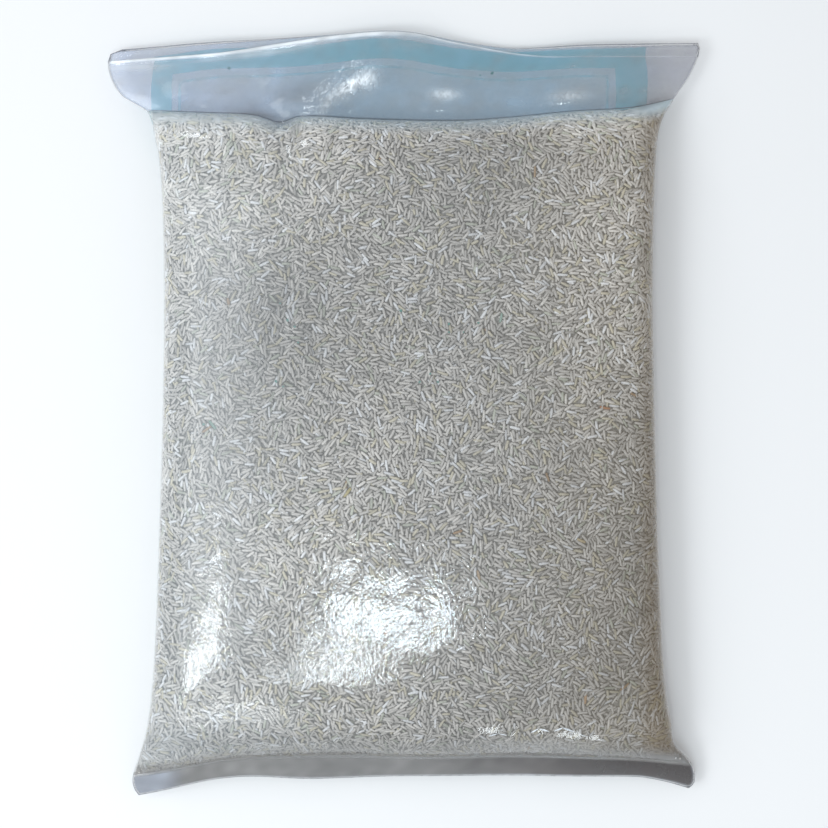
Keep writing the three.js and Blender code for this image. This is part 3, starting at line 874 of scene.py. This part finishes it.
def layGrains(patch, outward, width, height, count, depth, tilt):
    patch, thickness = patch[..., :3], patch[..., 3:]
    normals = normalsOf(patch, outward)
    acrossWay = np.gradient(patch, axis=1)
    acrossWay /= np.maximum(np.linalg.norm(acrossWay, axis=-1, keepdims=True), 1e-12)
    s, t, angle, length, girth = settle(width, height, count)
    # true millimetres for each millimetre of the flat plan: the plan is squeezed towards the ears
    perS, perT = (
        sample(np.linalg.norm(np.gradient(patch, axis=axis), axis=-1, keepdims=True),
               s / width, t / height)[:, 0] * (patch.shape[axis] - 1) / size / mm
        for axis, size in ((1, width), (0, height)))
    fromSide, fromEnd = np.minimum(s, width - s) * perS, np.minimum(t, height - t) * perT
    angle = turnedAtEdges(angle, length, fromSide, fromEnd)
    c, n = np.cos(angle), np.sin(angle)

    def over(table, reach):  # a table's values over one point of each grain, by its place along the grain
        es = np.clip((s + reach * c / perS) / width, 0, 1)
        et = np.clip((t + reach * n / perT) / height, 0, 1)
        return sample(table, es, et)

    at, up = over(patch, 0), over(normals, 0)
    up /= np.linalg.norm(up, axis=1, keepdims=True)
    u = over(acrossWay, 0)
    u -= up * (u * up).sum(1, keepdims=True)
    u /= np.linalg.norm(u, axis=1, keepdims=True)
    way = u * c[:, None] + np.cross(up, u) * outward * n[:, None]
    lean = rng.normal(0, tilt, count)
    way = way * np.cos(lean)[:, None] + up * np.sin(lean)[:, None]
    room = over(thickness, 0)[:, 0] / mm
    thinnest = np.min([room] + [over(thickness, end * length)[:, 0] / mm for end in (-0.46, 0.46)], axis=0)
    fits = thinnest > girth * 0.9 + 0.5
    if outward == 1 and depth < rice["secondDepth"]:  # slimmer ones go far into the corners
        girth = np.minimum(girth, np.maximum(thinnest - 0.3, 0.1) / rice["flatness"])
        fits = girth > rice["slimmest"]
    halfThick = girth * rice["flatness"] / 2
    sink = depth + np.abs(rng.normal(0, rice["depthSpread"], count))
    sink = np.maximum(np.minimum(sink, room - halfThick - 0.15), halfThick + 0.1)
    centre = at - up * (sink * mm)[:, None]
    for end in (-1, 1):  # no tip comes through the film
        reach = end * length / 2 * rice["tipAt"]
        tip = centre + way * (reach * mm)[:, None]
        room = ((over(patch, reach) - tip) * over(normals, reach)).sum(1) / mm - (girth * 0.35 + 0.15)
        centre = centre + up * (np.minimum(room, 0) * mm)[:, None]
        fits &= insetOf(tip) > rice["inset"] * mm
    side = np.cross(way, up)
    side /= np.linalg.norm(side, axis=1, keepdims=True)
    fits &= (fromSide > np.abs(length * c) / 2 + 0.5) | (fromEnd > rice["earReach"])
    fits &= (fromEnd > np.abs(length * n) / 2 + 0.2) & (rng.random(count) < perS * perT * 1.25)
    tint = grainTints(count)
    if outward == 1:
        tint = frontTintsAndPaintedLight(tint, at, depth < rice["secondDepth"])
    made = {"centre": centre, "way": way, "side": side, "up": np.cross(side, way), "length": length,
            "girth": girth, "t": t, "tint": np.clip(tint, 0, 0.95)}
    print("grains laid", count, "and left out where the bag is too thin", int((~fits).sum()))
    return {key: value[fits] for key, value in made.items()}


def grainMesh(name, grains, chosen, sides, bands):
    points, faces = grainTemplate(sides, bands)
    g = {key: value[chosen] for key, value in grains.items()}
    count = len(g["length"])
    bow = rng.uniform(-0.035, 0.035, count)  # most grains bend a little
    taper = rng.uniform(-0.12, 0.12, count)
    x = points[None, :, 0] * g["length"][:, None] / 2
    thick = (1 + taper[:, None] * points[None, :, 0]) * g["girth"][:, None] / 2
    y = points[None, :, 1] * thick + bow[:, None] * g["length"][:, None] * (1 - points[None, :, 0] ** 2)
    z = points[None, :, 2] * thick * rice["flatness"]
    at = g["centre"][:, None] + mm * (
        x[..., None] * g["way"][:, None] + y[..., None] * g["side"][:, None] + z[..., None] * g["up"][:, None])
    index = faces[None] + (np.arange(count) * len(points))[:, None, None]
    mesh = bpy.data.meshes.new(name)
    mesh.vertices.add(count * len(points))
    mesh.vertices.foreach_set("co", at.ravel().astype(np.float32))
    mesh.loops.add(index.size)
    mesh.loops.foreach_set("vertex_index", index.ravel().astype(np.int32))
    mesh.polygons.add(index.size // 3)
    mesh.polygons.foreach_set("loop_start", np.arange(0, index.size, 3, dtype=np.int32))
    mesh.polygons.foreach_set("use_smooth", np.ones(index.size // 3, bool))
    mesh.update(calc_edges=True)
    tint = mesh.attributes.new("tint", "FLOAT_COLOR", "POINT")
    colours = np.repeat(np.concatenate([g["tint"], np.ones((count, 1))], 1), len(points), axis=0)
    tint.data.foreach_set("color", colours.ravel().astype(np.float32))
    print(name, "has", count, "grains")
    dress(linked(name, mesh), riceMaterial, "rice")


def makeRiceMaterial():
    look = Look("rawRice")
    mottle = look.noise(look.place(), 900, 1, 0.6).ramp(0.35, 0.65, 0.9, 1.06)
    shade = look.node("ShaderNodeVectorMath", {"operation": "SCALE"}, {
        0: look.attribute("tint", "Color"), "Scale": mottle})
    return look.finish(look.node("ShaderNodeBsdfPrincipled", None, {
        "Base Color": shade, "Roughness": 0.5, "Specular IOR Level": 0.35}))


def patchOf(table, other, outward, rows, columns):
    thick = thicknessOf(table, other, normalsOf(table, outward))
    return flatPatch(np.concatenate([table, thick[..., None]], -1), rows, columns)


riceMaterial = makeRiceMaterial()
frontBody, underBody = frontTable[bodyRows], underTable[bodyRows]
frontPatch, frontWidth, frontHeight = patchOf(frontBody, underBody, 1, 240, 180)
underPatch, underWidth, underHeight = patchOf(underBody, frontBody, -1, 220, 170)
print("front patch", round(frontWidth), "by", round(frontHeight))
print("under patch", round(underWidth), "by", round(underHeight))


def layer(patch, outward, width, height, cover, depth, tilt):
    grainArea = rice["length"] * rice["width"] * 0.9
    count = int(cover * width * height / grainArea)
    return layGrains(patch, outward, width, height, count, depth, tilt)


top = layer(frontPatch, 1, frontWidth, frontHeight, rice["coverTop"], rice["topDepth"], rice["tilt"])
third = np.minimum((top["t"] / frontHeight * 3).astype(int), 2)
for i, name in enumerate(("rice_foot", "rice_middle", "rice_head")):
    grainMesh(name, top, third == i, 5, 4)
for name, laid in (
    ("rice_beneath", layer(frontPatch, 1, frontWidth, frontHeight, rice["coverSecond"],
                           rice["secondDepth"], rice["tilt"] * 1.6)),
    ("rice_underside", layer(underPatch, -1, underWidth, underHeight, rice["coverUnderside"],
                             rice["topDepth"], rice["tilt"])),
    ("rice_underside_deep", layer(underPatch, -1, underWidth, underHeight,
                                  rice["coverUndersideDeep"], rice["secondDepth"], rice["tilt"] * 1.6)),
):
    grainMesh(name, laid, laid["t"] >= 0, 4, 3)


def coreShadeMaterial():
    # painted shade: the rice deep among the grains, coloured as it looks in shade
    look = Look("riceDepthPaintedShade")
    speckle = look.noise(look.place(), 700, 3, 0.6).ramp(0.35, 0.65)
    return look.finish(look.node("ShaderNodeBsdfPrincipled", None, {
        "Base Color": look.blend((0.24, 0.232, 0.215), (0.42, 0.41, 0.385), speckle),
        "Roughness": 0.8, "Specular IOR Level": 0.1}))


# Stray flecks of the border's ink on the film's inside
inkFlecks = {
    "colour": (0.03, 0.16, 0.13), "paleColour": (0.12, 0.3, 0.26), "depth": 0.25,
    "places": [  # [x, y, radius] in millimetres
        [-0.4, 62.7, 0.8], [27.6, 55.1, 0.7], [28.2, 51.3, 0.6], [46, 57, 0.7], [9.1, 20.8, 0.7],
        [-71.5, 58.9, 0.8], [-67, 53.8, 0.6], [-77.9, 20.8, 0.8], [-72.8, 15.8, 0.7],
        [-122.9, -7.1, 0.8], [16.8, 24.6, 0.7], [-36, -125.6, 0.6], [31, -122.6, 0.6],
        [-64, 43.4, 0.6], [-75, 67.4, 0.5], [38, 51.4, 0.5], [22, 18.4, 0.6],
        [-110.9, 220.9, 0.9], [55.5, 218.3, 1.0], [47.9, 217.1, 0.6],
    ],
}


def fleckMesh():
    bm = bmesh.new()
    points, normals = frontTable.reshape(-1, 3), normalsOf(frontTable, 1).reshape(-1, 3)
    for x, y, radius in inkFlecks["places"]:
        nearest = np.argmin((points[:, 0] - x * mm) ** 2 + (points[:, 1] - y * mm) ** 2)
        normal = Vector(normals[nearest])
        base = Vector(points[nearest]) - normal * inkFlecks["depth"] * mm
        turn = normal.to_track_quat("Z", "Y").to_matrix().to_4x4()
        corners = bmesh.ops.create_circle(
            bm, cap_ends=True, segments=9, radius=radius * mm, matrix=Matrix.Translation(base) @ turn)
        for v in corners["verts"]:
            v.co += (v.co - base) * rng.uniform(-0.35, 0.5)
    return pieceFrom(bm, "ink_flecks")


def fleckMaterial():
    look = Look("inkFleck")
    smudge = look.noise(look.place(), 800, 1)
    return look.finish(look.node("ShaderNodeBsdfPrincipled", None, {
        "Base Color": look.blend(inkFlecks["colour"], inkFlecks["paleColour"], smudge), "Roughness": 0.5}))


dress(fleckMesh(), fleckMaterial(), "film")


creaseGlints = {  # painted highlights: short white strips where sharp creases catch the light
    "colour": (0.9, 0.95, 1.0), "dullColour": (0.7, 0.75, 0.8), "lift": 0.12, "steps": 8,
    "marks": [  # [from x, from y, to x, to y, width] in millimetres
        [24.2, -111.3, 26.7, -126.8, 0.7], [27.9, -114.2, 29.7, -128.6, 0.8],
        [-2.2, -129.7, -7.7, -142.3, 0.7], [-45.2, -122.9, -44, -131.6, 0.8],
        [-39.7, -140.8, -36.6, -151.3, 0.7], [-28.7, -158.8, -26.8, -164.9, 0.9],
        [-5.3, -114.4, 16.3, -115.7, 0.35], [-48.4, -115.2, -40.7, -115.8, 0.4],
        [79.2, -198.4, 84.2, -195.6, 0.9], [84.2, -195.6, 90.4, -197.5, 1.1],
        [93.6, -197.4, 99.1, -195, 1], [99.1, -195, 105.9, -197.7, 1.1],
        [52.9, -200.7, 58.7, -199.1, 0.6], [59.7, -199.2, 64.6, -200.2, 0.5],
        [109.6, -199.7, 115.5, -201.7, 0.5], [-26, 210, -21, 214.5, 0.9],
        [-30, 213, -27, 208, 0.7], [-41, 204, -33, 210, 0.6],
    ],
}


def creaseMesh():
    bm = bmesh.new()
    points = frontTable.reshape(-1, 3)
    for x0, y0, x1, y1, width in creaseGlints["marks"]:
        along = Vector((x1 - x0, y1 - y0, 0)).normalized()
        across = Vector((-along.y, along.x, 0)) * width * mm / 2
        last = None
        for share in np.linspace(0, 1, creaseGlints["steps"] + 1):
            x, y = mix(x0, x1, share) * mm, mix(y0, y1, share) * mm
            near = np.argsort((points[:, 0] - x) ** 2 + (points[:, 1] - y) ** 2)[:4]
            middle = Vector((x, y, points[near, 2].mean() + creaseGlints["lift"] * mm))
            half = across * math.sin(math.pi * (0.04 + 0.92 * share))
            pair = [bm.verts.new(middle + half), bm.verts.new(middle - half)]
            if last:
                bm.faces.new((last[0], last[1], pair[1], pair[0]))
            last = pair
    bmesh.ops.recalc_face_normals(bm, faces=bm.faces)
    return pieceFrom(bm, "film_crease_glints")


def creaseGlintMaterial():
    # painted highlight colours for the crease glints
    look = Look("paintedCreaseGlints")
    broken = look.noise(look.place(), 600, 1)
    return look.finish(look.node("ShaderNodeBsdfPrincipled", None, {
        "Base Color": look.blend(creaseGlints["dullColour"], creaseGlints["colour"], broken.ramp(0.4, 0.6)),
        "Roughness": 0.35}))


dress(creaseMesh(), creaseGlintMaterial(), "film")
# the core is painted shade between and below the grains
dress(tableShell("rice_core_painted_shade", *coreTables(rice["coreDepth"]), {}), coreShadeMaterial(), "rice")


# Floor, light and camera

studio = {
    "floorSize": 6, "floorColour": (0.93, 0.93, 0.93),
    "worldColour": (0.95, 0.97, 1.0), "worldStrength": 0.575,
    "lens": 75, "sensor": 36, "mmPerPixel": 0.635, "imageSize": 828, "sharpHeight": 25,
    "centrePixelX": 403.6, "centrePixelY": 413.8,
}


def softbox(name, at, aim, size, power, colour=(1, 1, 1)):
    light = bpy.data.lights.new(name, "AREA")
    light.shape, light.size, light.size_y = "RECTANGLE", size[0], size[1]
    light.energy, light.color = power, colour
    box = linked(name, light)
    box.location = at
    box.rotation_euler = (Vector(aim) - Vector(at)).to_track_quat("-Z", "Y").to_euler()


bm = bmesh.new()
bmesh.ops.create_grid(bm, x_segments=1, y_segments=1, size=studio["floorSize"] / 2)
floor = pieceFrom(bm, "floor")
floorLook = Look("paleFloor")
floor.data.materials.append(floorLook.finish(floorLook.node("ShaderNodeBsdfPrincipled", None, {
    "Base Color": (*studio["floorColour"], 1), "Roughness": 0.9, "Specular IOR Level": 0.1})))

world = bpy.data.worlds.new("softRoom")
world.use_nodes = True
world.node_tree.nodes["Background"].inputs["Color"].default_value = (*studio["worldColour"], 1)
world.node_tree.nodes["Background"].inputs["Strength"].default_value = studio["worldStrength"]
bpy.context.scene.world = world

for lamp in (  # name, place, aim, size, power, colour
    ("window", (-0.05, -0.335, 1.6), (-0.03, -0.13, 0.05), (0.25, 0.115), 1.95, (0.8, 0.92, 1)),
    ("windowStep", (-0.15, -0.6, 1.6), (-0.05, -0.15, 0.05), (0.11, 0.34), 1.7, (0.86, 0.95, 1)),
    ("windowGlow", (-0.29, -0.58, 1.6), (-0.09, -0.15, 0.05), (0.2, 0.5), 1.1, (0.86, 0.95, 1)),
    ("sideWindow", (-1.1, -0.52, 1.6), (-0.12, -0.13, 0.05), (0.32, 0.62), 7.5, (0.9, 0.96, 1)),
    ("leftWall", (-1.05, 0.05, 1.6), (0, 0, 0), (1.1, 1.25), 6, (0.93, 0.97, 1)),
    ("leftGlow", (-1.25, 0.1, 1.6), (0, 0, 0), (0.75, 1.1), 1.3, (0.93, 0.97, 1)),
    ("footStrip", (0.3, -1.4, 0.4), (0.08, -0.2, 0.04), (0.13, 0.3), 1.1, (0.88, 0.96, 1)),
    ("footGlow", (-0.75, -1.2, 1.5), (-0.1, -0.18, 0.05), (0.5, 0.25), 1.8, (0.93, 0.97, 1)),
    ("backLight", (-0.85, 1.6, 0.62), (-0.05, 0.21, 0.03), (0.34, 0.26), 2.2, (0.9, 0.95, 1)),
):
    softbox(*lamp)

camera = bpy.data.cameras.new("camera")
eye = linked("camera", camera)
camera.lens, camera.sensor_width = studio["lens"], studio["sensor"]
frameWidth = studio["imageSize"] * studio["mmPerPixel"] * mm
distance = frameWidth * studio["lens"] / studio["sensor"]
half = studio["imageSize"] / 2
eye.location = (
    (half - studio["centrePixelX"]) * studio["mmPerPixel"] * mm,
    (studio["centrePixelY"] - half) * studio["mmPerPixel"] * mm,
    studio["sharpHeight"] * mm + distance,
)
bpy.context.scene.camera = eye
bpy.context.scene.view_settings.view_transform = "Standard"
print("camera at", tuple(round(c, 4) for c in eye.location))
